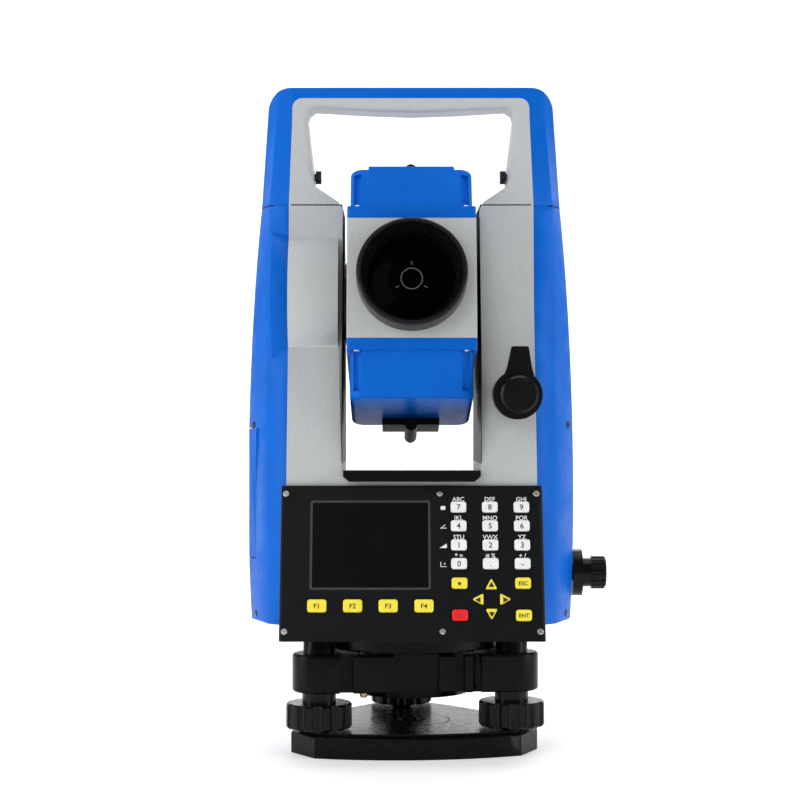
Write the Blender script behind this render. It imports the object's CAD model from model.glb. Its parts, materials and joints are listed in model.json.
import json
import math

import bmesh
import bpy
from mathutils import Matrix, Vector
from mathutils.bvhtree import BVHTree


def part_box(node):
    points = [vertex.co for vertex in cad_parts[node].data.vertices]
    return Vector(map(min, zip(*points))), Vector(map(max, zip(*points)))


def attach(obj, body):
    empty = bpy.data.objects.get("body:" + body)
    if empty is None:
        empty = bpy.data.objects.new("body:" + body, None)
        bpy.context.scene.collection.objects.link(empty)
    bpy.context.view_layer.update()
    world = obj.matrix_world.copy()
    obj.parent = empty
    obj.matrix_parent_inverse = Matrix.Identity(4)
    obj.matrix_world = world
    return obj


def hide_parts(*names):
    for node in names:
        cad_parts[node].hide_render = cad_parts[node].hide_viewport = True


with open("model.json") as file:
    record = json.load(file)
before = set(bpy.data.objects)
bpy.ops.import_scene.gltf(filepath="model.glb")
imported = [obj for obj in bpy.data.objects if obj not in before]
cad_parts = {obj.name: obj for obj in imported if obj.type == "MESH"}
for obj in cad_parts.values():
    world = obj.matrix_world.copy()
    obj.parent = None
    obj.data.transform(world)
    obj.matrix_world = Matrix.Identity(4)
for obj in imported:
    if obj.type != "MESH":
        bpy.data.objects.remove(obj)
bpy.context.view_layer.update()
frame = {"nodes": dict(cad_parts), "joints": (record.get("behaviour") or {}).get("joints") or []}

NODES = frame["nodes"]
JOINTS = {joint["name"]: joint for joint in frame["joints"]}
MM = 0.001

# ---- places, worked out from the frame ------------------------------------------------------

PANEL_LEAN = math.radians(18)
KEY_TOP = 1.2 * MM
PRINT_DEPTH = 0.03 * MM
TELESCOPE_TILT = math.radians(12)

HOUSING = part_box("keyboard_housing")
PANEL_RUN = (HOUSING[1][2] - HOUSING[0][2]) * math.tan(PANEL_LEAN)
PANEL_TOP = Vector((0.0, HOUSING[0][1] + PANEL_RUN, HOUSING[1][2]))
# x across, y up the slope from the top edge, z out of the panel
PANEL = Matrix.Translation(PANEL_TOP) @ Matrix.Rotation(math.pi / 2 - PANEL_LEAN, 4, "X")

TRUNNION = Vector(JOINTS["trunnion_axis"]["pos_m"])
# level telescope coordinates: y backwards along the line of sight, z up
TELESCOPE = Matrix.Translation(TRUNNION) @ Matrix.Rotation(-TELESCOPE_TILT, 4, "X")


def surface_at(node, start, direction):
    """Where a line first meets a CAD node's skin, as a place whose Z points out of it."""
    shape = bmesh.new()
    shape.from_mesh(NODES[node].data)
    shape.transform(NODES[node].matrix_world)
    spot, normal, _, _ = BVHTree.FromBMesh(shape).ray_cast(Vector(start), Vector(direction))
    shape.free()
    if normal.dot(Vector(direction)) > 0:
        normal = -normal
    return Matrix.Translation(spot) @ normal.to_track_quat("Z", "Y").to_matrix().to_4x4()


def middle(node):
    """The centre of a CAD node's box."""
    low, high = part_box(node)
    return (Vector(low) + Vector(high)) / 2


# ---- materials ------------------------------------------------------------------------------


class Paint:
    """A procedural material: a Principled shader fed by object-space patterns."""

    def __init__(self, name, roughness=0.5, metallic=0.0):
        self.material = bpy.data.materials.new(name)
        self.material.use_nodes = True
        self.tree = self.material.node_tree
        self.shader = self.tree.nodes["Principled BSDF"]
        self.shader.inputs["Roughness"].default_value = roughness
        self.shader.inputs["Metallic"].default_value = metallic
        self.place = self.tree.nodes.new("ShaderNodeTexCoord").outputs["Object"]

    def join(self, source, target):
        self.tree.links.new(source, target)

    def noise(self, scale, detail=2.0, rough=0.5, stretch=None):
        node = self.tree.nodes.new("ShaderNodeTexNoise")
        node.inputs["Scale"].default_value = scale
        node.inputs["Detail"].default_value = detail
        node.inputs["Roughness"].default_value = rough
        if stretch is None:
            self.join(self.place, node.inputs["Vector"])
        else:
            mapping = self.tree.nodes.new("ShaderNodeMapping")
            mapping.inputs["Scale"].default_value = stretch
            self.join(self.place, mapping.inputs["Vector"])
            self.join(mapping.outputs["Vector"], node.inputs["Vector"])
        return node.outputs["Fac"]

    def ramp(self, source, stops):
        node = self.tree.nodes.new("ShaderNodeValToRGB")
        ramp = node.color_ramp
        ramp.elements[0].position, ramp.elements[0].color = stops[0][0], stops[0][1]
        ramp.elements[1].position, ramp.elements[1].color = stops[-1][0], stops[-1][1]
        for place, colour in stops[1:-1]:
            ramp.elements.new(place).color = colour
        self.join(source, node.inputs["Fac"])
        return node.outputs["Color"]

    def tones(self, dark, light, scale=60.0, low=0.35, high=0.65):
        """Let the colour wander between two near tones."""
        stops = [(low, (*dark, 1)), (high, (*light, 1))]
        colour = self.ramp(self.noise(scale, 4.0, 0.6), stops)
        self.join(colour, self.shader.inputs["Base Color"])
        return self

    def sheen_map(self, low, high, scale=300.0):
        """Let the roughness wander, as handled plastic and paint do."""
        node = self.tree.nodes.new("ShaderNodeMapRange")
        node.inputs["From Min"].default_value = 0.3
        node.inputs["From Max"].default_value = 0.7
        node.inputs["To Min"].default_value = low
        node.inputs["To Max"].default_value = high
        self.join(self.noise(scale, 3.0, 0.6), node.inputs["Value"])
        self.join(node.outputs["Result"], self.shader.inputs["Roughness"])
        return self

    def dull(self, level):
        """Weaken the mirror part of the surface."""
        self.shader.inputs["Specular IOR Level"].default_value = level
        return self

    def grain(self, scale, depth, detail=2.0, strength=0.5, stretch=None):
        bump = self.tree.nodes.new("ShaderNodeBump")
        bump.inputs["Strength"].default_value = strength
        bump.inputs["Distance"].default_value = depth
        self.join(self.noise(scale, detail, 0.55, stretch), bump.inputs["Height"])
        self.join(bump.outputs["Normal"], self.shader.inputs["Normal"])
        return self


def blue_shell():
    """The satin moulded plastic of the shells."""
    paint = Paint("blue_shell_plastic", 0.36)
    paint.tones((0.0006, 0.104, 0.50), (0.0010, 0.116, 0.55), 40)
    paint.sheen_map(0.34, 0.46, 220).dull(0.08)
    return paint.grain(1500, 0.00004, 2.0, 0.35).material


def grey_paint():
    """Light grey textured paint on cast alloy."""
    paint = Paint("grey_textured_paint", 0.5)
    paint.tones((0.42, 0.435, 0.44), (0.48, 0.495, 0.50), 900, 0.3, 0.7)
    paint.sheen_map(0.42, 0.56, 400).dull(0.3)
    return paint.grain(1100, 0.00006, 3.0, 0.4).material


def black_paint():
    """Satin black paint on cast alloy."""
    paint = Paint("black_satin_paint", 0.35)
    paint.tones((0.0016, 0.0017, 0.0019), (0.0032, 0.0034, 0.0038), 120)
    paint.sheen_map(0.22, 0.32, 260).dull(0.1)
    return paint.grain(1400, 0.00002, 2.0, 0.3).material


def black_plastic():
    """Matt black plastic with a fine grain."""
    paint = Paint("black_grained_plastic", 0.5)
    paint.tones((0.0024, 0.0026, 0.0030), (0.0042, 0.0046, 0.0052), 150)
    paint.sheen_map(0.40, 0.55, 350).dull(0.06)
    return paint.grain(2200, 0.00005, 2.0, 0.5).material


def panel_plastic():
    """The keyboard's black front."""
    paint = Paint("panel_film", 0.45)
    paint.tones((0.0040, 0.0048, 0.0058), (0.0054, 0.0062, 0.0074), 200)
    paint.sheen_map(0.38, 0.50, 500).dull(0.1)
    return paint.grain(3000, 0.00002, 1.0, 0.35).material


def knob_plastic():
    """The knobs' slightly glossier black."""
    paint = Paint("knob_plastic", 0.38)
    paint.tones((0.0016, 0.0017, 0.0020), (0.0034, 0.0036, 0.0040), 180)
    paint.sheen_map(0.20, 0.32, 300).dull(0.16)
    return paint.grain(1600, 0.00005, 2.0, 0.4).material


def black_anodised():
    """Black anodised metal with turning lines."""
    paint = Paint("black_anodised", 0.3, 0.6)
    paint.tones((0.005, 0.005, 0.0055), (0.009, 0.009, 0.0095), 300)
    paint.sheen_map(0.24, 0.34, 600)
    return paint.grain(400, 0.00002, 1.0, 0.35, (1, 12, 1)).material


def steel(name="turned_steel", tone=0.52):
    """Turned steel, bright or blackened."""
    paint = Paint(name, 0.28, 1.0)
    paint.tones((tone * 0.86, tone * 0.86, tone * 0.87), (tone, tone, tone * 1.02), 400)
    paint.sheen_map(0.2, 0.36, 900)
    return paint.grain(300, 0.00002, 2.0, 0.4, (1, 1, 14)).material


def brass():
    """Turned brass."""
    paint = Paint("brass", 0.3, 1.0)
    paint.tones((0.50, 0.36, 0.14), (0.62, 0.46, 0.20), 500)
    paint.sheen_map(0.22, 0.38, 900)
    return paint.grain(500, 0.00002, 2.0, 0.3).material


def lens_glass():
    """Dark coated glass: a faint violet and green film at grazing angles."""
    paint = Paint("coated_lens", 0.04)
    paint.dull(0.008)
    weight = paint.tree.nodes.new("ShaderNodeLayerWeight")
    weight.inputs["Blend"].default_value = 0.35
    clear, violet, green = (0.0012, 0.0012, 0.0016, 1), (0.002, 0.002, 0.005, 1), (0.004, 0.008, 0.006, 1)
    film = paint.ramp(weight.outputs["Facing"], [(0.0, clear), (0.5, violet), (1.0, green)])
    paint.join(film, paint.shader.inputs["Base Color"])
    paint.sheen_map(0.03, 0.06, 30)
    return paint.material


def display_glass():
    """The dark window over the display."""
    paint = Paint("display_glass", 0.12)
    paint.tones((0.0009, 0.0010, 0.0011), (0.0014, 0.0015, 0.0017), 80)
    paint.sheen_map(0.10, 0.16, 60).dull(0.2)
    return paint.grain(900, 0.000004, 1.0, 0.2).material


def clear_glass():
    """Clear glass of the graduated circle."""
    paint = Paint("clear_glass", 0.05)
    paint.shader.inputs["Transmission Weight"].default_value = 0.9
    paint.tones((0.75, 0.80, 0.80), (0.80, 0.86, 0.85), 60)
    paint.sheen_map(0.04, 0.09, 80)
    return paint.material


def rubber_key(name, dark, light):
    """A silicone key cap between two tones."""
    paint = Paint(name, 0.5)
    paint.tones(dark, light, 500)
    paint.sheen_map(0.42, 0.58, 600)
    paint.shader.inputs["Specular IOR Level"].default_value = 0.4
    return paint.grain(2600, 0.00002, 2.0, 0.4).material


def print_ink(name, dark, light):
    """Printed ink between two tones."""
    paint = Paint(name, 0.55)
    paint.tones(dark, light, 1500)
    return paint.grain(4000, 0.000008, 1.0, 0.3).material


def vial_liquid():
    """The round level's green liquid under glass."""
    paint = Paint("vial_liquid", 0.05)
    paint.tones((0.30, 0.42, 0.10), (0.38, 0.50, 0.14), 90)
    paint.shader.inputs["Coat Weight"].default_value = 1.0
    return paint.sheen_map(0.03, 0.08, 60).material


def floor_paper():
    """White studio paper that glows faintly, so that it stays pale."""
    paint = Paint("studio_paper", 0.8)
    paint.tones((0.86, 0.86, 0.86), (0.89, 0.89, 0.89), 6)
    paint.shader.inputs["Emission Color"].default_value = (1, 1, 1, 1)
    paint.shader.inputs["Emission Strength"].default_value = 0.27
    return paint.grain(400, 0.00005, 2.0, 0.2).material


BLUE = blue_shell()
GREY = grey_paint()
BLACK_PAINT = black_paint()
BLACK = black_plastic()
PANEL_FILM = panel_plastic()
KNOB = knob_plastic()
ANODISED = black_anodised()
STEEL = steel()
DARK_STEEL = steel("blackened_steel", 0.05)
BRASS = brass()
LENS = lens_glass()
DISPLAY = display_glass()
GLASS = clear_glass()
VIAL = vial_liquid()
WHITE_KEY = rubber_key("white_key", (0.74, 0.75, 0.74), (0.84, 0.85, 0.84))
YELLOW_KEY = rubber_key("yellow_key", (0.80, 0.66, 0.035), (0.90, 0.76, 0.06))
RED_KEY = rubber_key("red_key", (0.72, 0.004, 0.006), (0.85, 0.008, 0.010))
WHITE_INK = print_ink("white_ink", (0.70, 0.71, 0.71), (0.82, 0.83, 0.83))
BLACK_INK = print_ink("black_ink", (0.008, 0.008, 0.009), (0.016, 0.016, 0.017))
GREY_INK = print_ink("grey_ink", (0.10, 0.10, 0.105), (0.14, 0.14, 0.145))

FINISH = {
    BLUE: ("left_side_cover", "right_side_cover", "handle_cover", "telescope_top_cover",
           "telescope_bottom_cover", "battery_pack"),
    GREY: ("yoke_frame", "handle_frame", "telescope_body"),
    BLACK_PAINT: ("base_plate", "spring_plate", "tribrach_body", "alidade_base"),
    BLACK: ("rear_cover", "plate_level", "telescope_sights"),
    PANEL_FILM: ("keyboard_housing",),
    KNOB: ("foot_screw_front_left", "foot_screw_front_right", "foot_screw_rear",
           "tribrach_lock_knob", "vertical_clamp_lever", "vertical_tangent_knob",
           "horizontal_clamp_ring", "horizontal_tangent_knob", "focus_ring", "eyepiece_ring"),
    ANODISED: ("objective_ring", "circular_level"),
    STEEL: ("vertical_axis_spindle", "keyboard_screws"),
    DARK_STEEL: ("handle_screws", "trunnion_shafts"),
    LENS: ("telescope_lenses",),
    DISPLAY: ("display_window",),
    GLASS: ("horizontal_circle",),
    RED_KEY: ("key_power",),
    YELLOW_KEY: ("key_f1", "key_f2", "key_f3", "key_f4", "key_star", "key_esc", "key_enter",
                 "key_up", "key_down", "key_left", "key_right"),
    WHITE_KEY: tuple(f"key_{digit}" for digit in range(10)) + ("key_dot", "key_minus"),
}


def finish_nodes():
    """Give each CAD node its material."""
    for material, names in FINISH.items():
        for name in names:
            slots = NODES[name].data.materials
            slots.clear()
            slots.append(material)


# ---- mesh helpers ---------------------------------------------------------------------------


def new_piece(name, mesh, material, body, matrix=None):
    """A piece that rides on a body, from a mesh drawn in local coordinates."""
    if matrix is not None:
        mesh.transform(matrix)
    mesh.materials.clear()
    mesh.materials.append(material)
    piece = bpy.data.objects.new(name, mesh)
    bpy.context.scene.collection.objects.link(piece)
    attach(piece, body)
    return piece


def mesh_from(name, build):
    """A mesh from a function that fills a bmesh."""
    shape = bmesh.new()
    build(shape)
    bmesh.ops.recalc_face_normals(shape, faces=shape.faces)
    mesh = bpy.data.meshes.new(name)
    shape.to_mesh(mesh)
    shape.free()
    return mesh


def lathe(shape, profile, steps=48, matrix=None):
    """Turn (radius, height) points about Z; ends on the axis close the form."""
    matrix = matrix or Matrix.Identity(4)
    rings = []
    for radius, height in profile:
        if radius < 1e-9:
            rings.append([shape.verts.new(matrix @ Vector((0, 0, height)))])
            continue
        ring = []
        for step in range(steps):
            angle = 2 * math.pi * step / steps
            point = Vector((radius * math.cos(angle), radius * math.sin(angle), height))
            ring.append(shape.verts.new(matrix @ point))
        rings.append(ring)
    for below, above in zip(rings, rings[1:]):
        for step in range(steps):
            after = (step + 1) % steps
            if len(below) == 1:
                shape.faces.new((below[0], above[step], above[after]))
            elif len(above) == 1:
                shape.faces.new((below[step], below[after], above[0]))
            else:
                shape.faces.new((below[step], below[after], above[after], above[step]))


def prism(shape, outline, low, high, matrix=None):
    """Raise a flat outline from one height to another."""
    matrix = matrix or Matrix.Identity(4)
    bottom = [shape.verts.new(matrix @ Vector((x, y, low))) for x, y in outline]
    top = [shape.verts.new(matrix @ Vector((x, y, high))) for x, y in outline]
    shape.faces.new(list(reversed(bottom)))
    shape.faces.new(top)
    count = len(outline)
    for step in range(count):
        after = (step + 1) % count
        shape.faces.new((bottom[step], bottom[after], top[after], top[step]))


def round_box(width, height, radius, steps=5):
    """A rectangle's outline about the origin with rounded corners."""
    points = []
    corners = ((1, 1, 0), (-1, 1, 90), (-1, -1, 180), (1, -1, 270))
    for side_x, side_y, start in corners:
        centre_x, centre_y = side_x * (width / 2 - radius), side_y * (height / 2 - radius)
        for step in range(steps + 1):
            angle = math.radians(start + 90 * step / steps)
            points.append((centre_x + radius * math.cos(angle), centre_y + radius * math.sin(angle)))
    return points


def moved(outline, x, y):
    """An outline shifted in its own plane."""
    return [(x + px, y + py) for px, py in outline]


def words_mesh(name, words, size, matrix, depth=0.02 * MM, weight=0.0):
    """Lettering as a thin solid centred on the matrix's origin."""
    curve = bpy.data.curves.new(name, "FONT")
    curve.body = words
    curve.size = size
    curve.align_x = "CENTER"
    curve.align_y = "CENTER"
    curve.extrude = depth
    curve.offset = weight
    curve.resolution_u = 3
    holder = bpy.data.objects.new(f"{name}_source", curve)
    bpy.context.scene.collection.objects.link(holder)
    bpy.context.view_layer.update()
    graph = bpy.context.evaluated_depsgraph_get()
    mesh = bpy.data.meshes.new_from_object(holder.evaluated_get(graph))
    bpy.data.objects.remove(holder)
    mesh.transform(matrix)
    return mesh


def joined(name, meshes):
    """Several meshes as one."""
    shape = bmesh.new()
    for mesh in meshes:
        shape.from_mesh(mesh)
    result = bpy.data.meshes.new(name)
    shape.to_mesh(result)
    shape.free()
    return result


EDGE_ROUNDING = 0.35 * MM
SOFT_NODES = ("yoke_frame", "handle_frame", "handle_cover", "left_side_cover", "right_side_cover",
              "telescope_body", "base_plate", "tribrach_body", "battery_pack",
              "keyboard_housing")


def soften(node, width, angle=math.radians(32), segments=2):
    """Round a CAD node's hard edges with modifiers; its own mesh stays as it is."""
    weld = NODES[node].modifiers.new("merge", "WELD")
    weld.merge_threshold = 0.004 * MM
    bevel = NODES[node].modifiers.new("soft_edges", "BEVEL")
    bevel.width = width
    bevel.segments = segments
    bevel.limit_method = "ANGLE"
    bevel.angle_limit = angle
    bevel.harden_normals = True
    bevel.use_clamp_overlap = True


# ---- keyboard -------------------------------------------------------------------------------

LEGENDS = {
    "key_dot": ".", "key_minus": "-", "key_esc": "ESC", "key_enter": "ENT",
    "key_f1": "F1", "key_f2": "F2", "key_f3": "F3", "key_f4": "F4",
}
LEGENDS.update({f"key_{digit}": str(digit) for digit in range(10)})
LETTERS = {
    "key_7": "ABC", "key_8": "DEF", "key_9": "GHI", "key_4": "JKL", "key_5": "MNO",
    "key_6": "PQR", "key_1": "STU", "key_2": "VWX", "key_3": "YZ",
    "key_0": "* =", "key_dot": "# %", "key_minus": "+ /",
}
ARROWS = {"key_up": 0, "key_left": 90, "key_down": 180, "key_right": 270}


def on_panel(x, y, height):
    """A place on the keyboard, with Z out of it."""
    return PANEL @ Matrix.Translation(Vector((x, y, height)))


def key_centre(name):
    """Across and up-slope place of a key on the panel."""
    place = PANEL.inverted() @ middle(name)
    return place.x, place.y


def add_key_legends():
    """Print on the key caps."""
    for name, words in LEGENDS.items():
        x, y = key_centre(name)
        size = 3.9 * MM if len(words) == 1 else 3.4 * MM if len(words) == 2 else 2.7 * MM
        matrix = on_panel(x, y, KEY_TOP + 0.01 * MM)
        mesh = words_mesh(f"{name}_legend", words, size, matrix, weight=0.06 * MM)
        new_piece(f"{name}_legend", mesh, BLACK_INK, name)


def triangle(reach):
    """An outline that points along +Y."""
    return [(0.0, reach), (-reach, -0.85 * reach), (reach, -0.85 * reach)]


def add_arrow_faces():
    """A dark triangle within each yellow arrow key's rim."""
    for name, angle in ARROWS.items():
        x, y = key_centre(name)
        turn = Matrix.Rotation(math.radians(angle), 4, "Z")
        matrix = on_panel(x, y, KEY_TOP) @ turn

        def inner(shape):
            prism(shape, moved(triangle(1.45 * MM), 0, -0.1 * MM), 0.0, PRINT_DEPTH)

        new_piece(f"{name}_face", mesh_from(f"{name}_face", inner), BLACK_INK, name, matrix)


def star_outline(outer, inner):
    """A five-pointed star."""
    points = []
    for step in range(10):
        radius = outer if step % 2 == 0 else inner
        angle = math.pi / 2 + math.pi * step / 5
        points.append((radius * math.cos(angle), radius * math.sin(angle)))
    return points


def add_symbol_keys():
    """The star, and the ring and bar of the power key."""
    x, y = key_centre("key_star")

    def star(shape):
        prism(shape, star_outline(1.25 * MM, 0.55 * MM), 0, PRINT_DEPTH)

    mesh = mesh_from("key_star_mark", star)
    new_piece("key_star_mark", mesh, BLACK_INK, "key_star", on_panel(x, y, KEY_TOP))
    x, y = key_centre("key_power")

    def power(shape):
        ring_band(shape, 1.25 * MM, 0.95 * MM, PRINT_DEPTH, 65)
        prism(shape, moved(round_box(0.3 * MM, 1.3 * MM, 0.1 * MM), 0, 0.75 * MM), 0, PRINT_DEPTH)

    dark_red = print_ink("dark_red_ink", (0.25, 0.002, 0.003), (0.32, 0.004, 0.005))
    mesh = mesh_from("key_power_mark", power)
    matrix = on_panel(x, y, KEY_TOP)
    new_piece("key_power_mark", mesh, dark_red, "key_power", matrix)


def ring_band(shape, outer, inner, height, start=0, steps=28):
    """A flat ring, or most of one, open about the top."""
    gap = math.radians(start)
    total = 2 * math.pi - gap if start else 2 * math.pi
    first = math.pi / 2 + gap / 2
    points = []
    for step in range(steps + 1):
        angle = first + total * step / steps
        points.append((math.cos(angle), math.sin(angle)))
    for here, after in zip(points, points[1:]):
        quad = [
            (here[0] * inner, here[1] * inner),
            (here[0] * outer, here[1] * outer),
            (after[0] * outer, after[1] * outer),
            (after[0] * inner, after[1] * inner),
        ]
        prism(shape, quad, 0, height)


def add_panel_print():
    """Small letters over the number keys and the four measuring symbols beside the rows."""
    meshes = []
    for name, words in LETTERS.items():
        x, y = key_centre(name)
        matrix = on_panel(x, y + 4.35 * MM, 0.01 * MM)
        meshes.append(words_mesh("letters", words, 3.1 * MM, matrix, weight=0.04 * MM))
    new_piece("panel_letters", joined("panel_letters", meshes), WHITE_INK, "alidade")
    column = key_centre("key_7")[0] - 7.6 * MM
    rows = [key_centre(name)[1] for name in ("key_7", "key_4", "key_1", "key_0")]

    def symbols(shape):
        matrices = [on_panel(column, row, 0.0) for row in rows]
        stroke = 0.02 * MM
        prism(shape, round_box(2.4 * MM, 2.0 * MM, 0.5 * MM), 0, stroke, matrices[0])
        wedge = [(-1.6 * MM, -0.9 * MM), (1.6 * MM, -0.9 * MM), (1.6 * MM, -0.5 * MM),
                 (-0.7 * MM, -0.5 * MM), (1.2 * MM, 0.8 * MM), (0.9 * MM, 1.1 * MM)]
        prism(shape, wedge, 0, stroke, matrices[1])
        slope = [(-1.9 * MM, -1.1 * MM), (1.7 * MM, -1.1 * MM), (1.7 * MM, 1.2 * MM)]
        prism(shape, slope, 0, stroke, matrices[2])
        axes = [(-1.5 * MM, -1.2 * MM), (1.5 * MM, -1.2 * MM), (1.5 * MM, -0.9 * MM),
                (-1.2 * MM, -0.9 * MM), (-1.2 * MM, 1.3 * MM), (-1.5 * MM, 1.3 * MM)]
        prism(shape, axes, 0, stroke, matrices[3])
        dot = moved(round_box(0.7 * MM, 0.7 * MM, 0.3 * MM), 0.6 * MM, 0.4 * MM)
        prism(shape, dot, 0, stroke, matrices[3])

    new_piece("panel_symbols", mesh_from("panel_symbols", symbols), WHITE_INK, "alidade")


def add_window_rim():
    """The thin paler frame printed round the display."""
    low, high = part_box("display_window")
    corner_low = PANEL.inverted() @ Vector((low[0], low[1], low[2]))
    corner_high = PANEL.inverted() @ Vector((high[0], high[1], high[2]))
    centre_x, centre_y = (corner_low.x + corner_high.x) / 2, (corner_low.y + corner_high.y) / 2
    width = high[0] - low[0]
    height = (high[2] - low[2]) / math.cos(PANEL_LEAN) - 0.3 * MM
    outer, inner = 2.6 * MM, 0.35 * MM

    def rim(shape):
        outside = round_box(width + outer, height + outer, 1.2 * MM)
        inside = round_box(width + inner, height + inner, 0.4 * MM)
        count = len(outside)
        for step in range(count):
            after = (step + 1) % count
            prism(shape, [inside[step], outside[step], outside[after], inside[after]], 0, 0.04 * MM)

    mesh = mesh_from("window_rim", rim)
    rim_ink = print_ink("rim_ink", (0.018, 0.019, 0.020), (0.028, 0.029, 0.030))
    new_piece("window_rim", mesh, rim_ink, "alidade", on_panel(centre_x, centre_y, 0.0))


def screw_head(shape, radius, height, matrix):
    """A domed head with a cross sunk in it."""
    profile = [(radius, 0.0), (radius, height * 0.35), (radius * 0.86, height * 0.8)]
    profile += [(radius * 0.62, height), (radius * 0.6, height)]
    lathe(shape, profile, 28, matrix)
    arm, reach = radius * 0.13, radius * 0.6
    floor = height * 0.45
    cross = [
        (arm, arm), (arm, reach), (-arm, reach), (-arm, arm), (-reach, arm), (-reach, -arm),
        (-arm, -arm), (-arm, -reach), (arm, -reach), (arm, -arm), (reach, -arm), (reach, arm),
    ]
    rim = [shape.verts.new(matrix @ Vector((x, y, height))) for x, y in cross]
    sunk = [shape.verts.new(matrix @ Vector((x * 0.8, y * 0.8, floor))) for x, y in cross]
    count = len(cross)
    for step in range(count):
        after = (step + 1) % count
        shape.faces.new((rim[step], rim[after], sunk[after], sunk[step]))
    shape.faces.new(sunk)
    turns = [2 * math.pi * step / 28 for step in range(28)]
    circle = [(radius * 0.6 * math.cos(turn), radius * 0.6 * math.sin(turn)) for turn in turns]
    collar = [shape.verts.new(matrix @ Vector((x, y, height))) for x, y in circle]
    edge_loops = [shape.edges.get((rim[step], rim[(step + 1) % count])) for step in range(count)]
    edge_loops += [shape.edges.new((collar[step], collar[(step + 1) % 28])) for step in range(28)]
    bmesh.ops.triangle_fill(shape, edges=edge_loops, use_beauty=True)


def add_panel_screws():
    """Cross-recessed heads in place of the plain ones."""
    solids = islands(NODES["keyboard_screws"].data)

    def heads(shape):
        for centre in solids:
            place = PANEL.inverted() @ centre
            screw_head(shape, 1.6 * MM, 0.8 * MM, on_panel(place.x, place.y, 0.0))

    mesh = mesh_from("panel_screw_heads", heads)
    piece = new_piece("panel_screw_heads", mesh, STEEL, "alidade")
    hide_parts("keyboard_screws")


def islands(mesh):
    """The middle of each separate solid in a mesh."""
    shape = bmesh.new()
    shape.from_mesh(mesh)
    bmesh.ops.remove_doubles(shape, verts=shape.verts, dist=1e-6)
    seen, centres = set(), []
    for start in shape.verts:
        if start in seen:
            continue
        group, queue = [], [start]
        seen.add(start)
        while queue:
            vert = queue.pop()
            group.append(vert.co.copy())
            for edge in vert.link_edges:
                other = edge.other_vert(vert)
                if other not in seen:
                    seen.add(other)
                    queue.append(other)
        low = Vector(min(co[axis] for co in group) for axis in range(3))
        high = Vector(max(co[axis] for co in group) for axis in range(3))
        centres.append((low + high) / 2)
    shape.free()
    return centres


# ---- telescope --------------------------------------------------------------------------------


def add_lens_marks():
    """The small ranging ring's pale line and its three index marks."""
    back = TELESCOPE.inverted() @ NODES["telescope_lenses"].matrix_world
    front = min((back @ vert.co).y for vert in NODES["telescope_lenses"].data.vertices)
    recess = -0.68 * MM
    matrix = TELESCOPE @ Matrix.Translation(Vector((0, front, 0))) @ Matrix.Rotation(math.pi / 2, 4, "X")

    def marks(shape):
        ring_band(shape, 5.6 * MM, 5.1 * MM, PRINT_DEPTH)
        for angle in (90, 210, 330):
            turn = Matrix.Rotation(math.radians(angle - 90), 4, "Z")
            dash = moved(round_box(0.45 * MM, 2.0 * MM, 0.1 * MM), 0, 8.2 * MM)
            prism(shape, dash, recess - 0.1 * MM, recess + 0.1 * MM, turn)

    new_piece("lens_marks", mesh_from("lens_marks", marks), GREY_INK, "telescope", matrix)


def add_eyepiece_rim():
    """A black rim over the painted end of the eyepiece's tube."""
    outer, inner, end, thick = 9.9 * MM, 6.9 * MM, 77.0 * MM, 0.12 * MM
    matrix = TELESCOPE @ Matrix.Translation(Vector((0, end, 0))) @ Matrix.Rotation(-math.pi / 2, 4, "X")

    def rim(shape):
        ring_band(shape, outer, inner, thick, steps=48)

    new_piece("eyepiece_rim", mesh_from("eyepiece_rim", rim), ANODISED, "telescope", matrix)


def add_cover_screws():
    """Cross-recessed screws in the telescope covers' flutes, the side covers and the rear lid."""
    reach = 0.1
    turn = TELESCOPE.to_3x3()

    def scope_heads(shape):
        for side, node in ((1, "telescope_top_cover"), (-1, "telescope_bottom_cover")):
            for across in (-27.2, 27.2):
                start = TELESCOPE @ Vector((across * MM, -47.9 * MM, reach * side))
                place = surface_at(node, start, turn @ Vector((0, 0, -side)))
                screw_head(shape, 1.8 * MM, 0.8 * MM, place)

    new_piece("scope_screws", mesh_from("scope_screws", scope_heads), STEEL, "telescope")

    def shell_heads(shape):
        for side, node in ((-1, "left_side_cover"), (1, "right_side_cover")):
            for depth, height in ((15.5, 165.9), (18.7, 69.5)):
                for face in (-1, 1):
                    start = (reach * 2 * side, depth * face * MM, height * MM)
                    place = surface_at(node, start, (-side, 0, 0))
                    screw_head(shape, 1.9 * MM, 0.5 * MM, place)
        for across in (-51.0, 51.0):
            for height in (73.0, 127.0):
                start = (across * MM, reach * 2, height * MM)
                place = surface_at("rear_cover", start, (0, -1, 0))
                screw_head(shape, 2.0 * MM, 0.35 * MM, place)

    new_piece("shell_screws", mesh_from("shell_screws", shell_heads), DARK_STEEL, "alidade")


def add_seam_gasket():
    """A thin dark joint between the handle's feet and the standards."""
    foot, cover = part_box("handle_frame"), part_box("handle_cover")
    seam, proud, thick = foot[0][2], 0.08 * MM, 0.28 * MM
    inner, frame_edge = 35.2 * MM, 61.0 * MM
    deep, outer = foot[1][1] + proud, cover[1][0] + proud
    crease = outer - 4.9 * MM
    half = [(inner, -deep), (frame_edge, -deep), (crease, -deep * 0.8), (outer, -deep * 0.25)]
    half += [(x, -y) for x, y in reversed(half)]

    def joint(shape):
        low, high = seam - 2 * thick, seam + 0.02 * MM
        prism(shape, half, low, high)
        prism(shape, [(-x, y) for x, y in reversed(half)], low, high)

    new_piece("seam_gasket", mesh_from("seam_gasket", joint), BLACK, "alidade")


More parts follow.
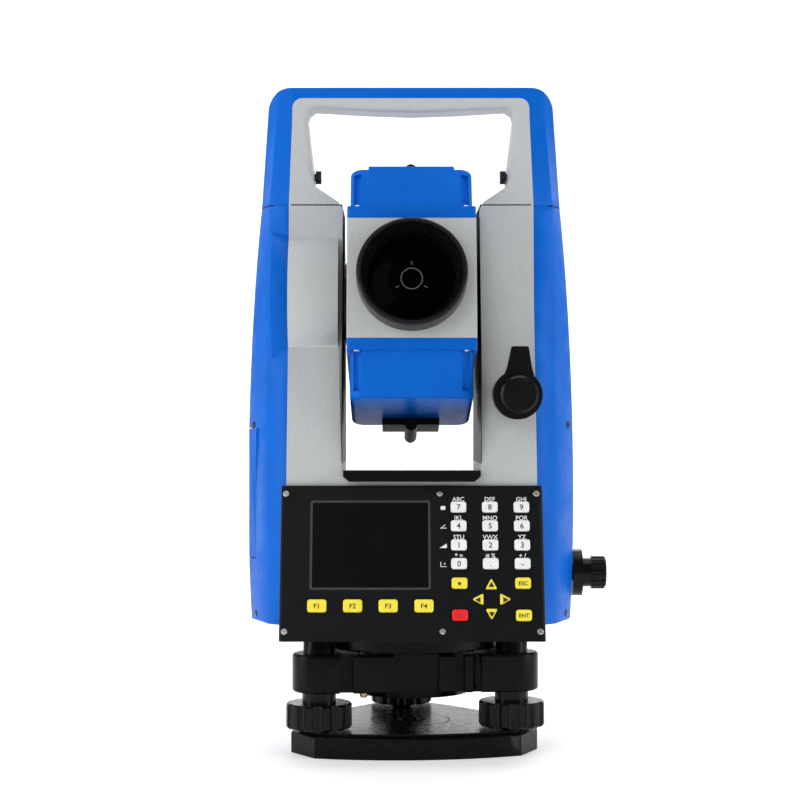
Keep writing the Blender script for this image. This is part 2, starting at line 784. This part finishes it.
def add_gap_liners():
    """Dark sheets on the standards' inner faces, beside the telescope."""
    low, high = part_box("yoke_frame")
    face, thin = 34.75 * MM, 0.1 * MM
    saddle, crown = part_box("plate_level")[1][2] + 3 * MM, high[2] - 2 * MM
    front, slim = low[1] + 1.5 * MM, 23.0 * MM
    outline = [(front, saddle), (-front, saddle), (-front, TRUNNION.z - 30 * MM), (slim, crown)]
    outline += [(-slim, crown), (front, TRUNNION.z - 30 * MM)]
    upright = Matrix(((0, 0, 1, 0), (1, 0, 0, 0), (0, 1, 0, 0), (0, 0, 0, 1)))

    def sheets(shape):
        prism(shape, outline, face - thin, face + thin, upright)
        prism(shape, outline, -face - thin, thin - face, upright)

    new_piece("gap_liners", mesh_from("gap_liners", sheets), BLACK, "alidade")


def add_round_level():
    """The circular level's glass, its index ring and the bubble."""
    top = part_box("circular_level")[1][2]
    centre = middle("circular_level")
    matrix = Matrix.Translation((centre.x, centre.y, top))
    vial = [(0.0, -0.1 * MM), (6.3 * MM, -0.1 * MM), (6.3 * MM, 0.15 * MM), (3.5 * MM, 0.4 * MM)]
    vial.append((0.0, 0.5 * MM))
    mesh = mesh_from("round_vial", lambda shape: lathe(shape, vial))
    new_piece("round_vial", mesh, VIAL, "tribrach", matrix)

    def index(shape):
        ring_band(shape, 2.9 * MM, 2.6 * MM, 0.55 * MM)

    new_piece("round_level_ring", mesh_from("round_level_ring", index), BLACK_INK, "tribrach", matrix)
    bubble = [(0.0, 0.3 * MM), (2.2 * MM, 0.3 * MM), (2.1 * MM, 0.56 * MM), (0.0, 0.62 * MM)]
    mesh = mesh_from("round_level_bubble", lambda shape: lathe(shape, bubble))
    new_piece("round_level_bubble", mesh, WHITE_INK, "tribrach", matrix)


def add_tribrach_screw():
    """The small brass adjusting screw under the tribrach's front side."""
    place = surface_at("tribrach_body", (-24.0 * MM, -36.0 * MM, 0.0), (0, 0, 1))

    def pin(shape):
        screw_head(shape, 2.2 * MM, 2.8 * MM, place)

    new_piece("tribrach_screw", mesh_from("tribrach_screw", pin), BRASS, "tribrach")


# ---- studio -------------------------------------------------------------------------------------


def add_stage():
    """A pale sheet that runs under the object and up behind it."""
    half, front, back, wall, bend = 12.0, -12.0, 1.6, 4.2, 0.6
    profile = [(front, 0.0), (back - bend, 0.0)]
    steps = 16
    for step in range(1, steps + 1):
        angle = math.pi / 2 * step / steps
        profile.append((back - bend + bend * math.sin(angle), bend - bend * math.cos(angle)))
    profile.append((back, wall))

    def sheet(shape):
        left = [shape.verts.new((-half, y, z)) for y, z in profile]
        right = [shape.verts.new((half, y, z)) for y, z in profile]
        for step in range(len(profile) - 1):
            shape.faces.new((left[step], right[step], right[step + 1], left[step + 1]))

    mesh = mesh_from("studio_sheet", sheet)
    mesh.materials.append(floor_paper())
    for face in mesh.polygons:
        face.use_smooth = True
    stage = bpy.data.objects.new("studio_sheet", mesh)
    bpy.context.scene.collection.objects.link(stage)


def add_light(name, place, target, size, power):
    """A soft rectangular lamp aimed at a point."""
    lamp = bpy.data.lights.new(name, "AREA")
    lamp.shape = "RECTANGLE"
    lamp.size, lamp.size_y = size
    lamp.energy = power
    holder = bpy.data.objects.new(name, lamp)
    holder.location = place
    aim = Vector(target) - Vector(place)
    holder.rotation_euler = aim.to_track_quat("-Z", "Y").to_euler()
    bpy.context.scene.collection.objects.link(holder)


def add_lights():
    """Soft lamps on all sides under a pale sky."""
    centre = (0, 0, 0.18)
    add_light("key_light", (-0.7, -1.5, 1.0), centre, (0.9, 0.9), 7)
    add_light("left_light", (-1.5, -0.5, 0.5), centre, (0.7, 1.2), 14)
    add_light("right_light", (1.5, -0.5, 0.5), centre, (0.7, 1.2), 13)
    add_light("top_light", (0.0, 0.1, 1.5), centre, (1.2, 0.9), 8)
    add_light("back_light", (0.3, 1.2, 0.9), (0, 0.4, 0.2), (1.4, 0.8), 8)
    world = bpy.data.worlds.new("studio_air")
    world.use_nodes = True
    background = world.node_tree.nodes["Background"]
    background.inputs["Color"].default_value = (1, 1, 1, 1)
    background.inputs["Strength"].default_value = 0.27
    bpy.context.scene.world = world


def add_camera():
    """Level with the keyboard's top, a metre in front, square to the instrument."""
    camera = bpy.data.cameras.new("camera")
    camera.sensor_width = 36.0
    camera.lens = 86.2
    camera.shift_x = 0.01375
    camera.shift_y = 0.01875
    camera.clip_start = 0.01
    holder = bpy.data.objects.new("camera", camera)
    holder.location = (-0.0113, -1.0, 0.171)
    holder.rotation_euler = (math.pi / 2, 0, 0)
    bpy.context.scene.collection.objects.link(holder)
    bpy.context.scene.camera = holder
    bpy.context.scene.view_settings.view_transform = "Standard"


finish_nodes()
add_key_legends()
add_arrow_faces()
add_symbol_keys()
add_panel_print()
add_window_rim()
add_panel_screws()
add_lens_marks()
add_eyepiece_rim()
add_cover_screws()
add_seam_gasket()
add_gap_liners()
add_round_level()
add_tribrach_screw()
for shell in SOFT_NODES:
    soften(shell, EDGE_ROUNDING)
add_stage()
add_lights()
add_camera()
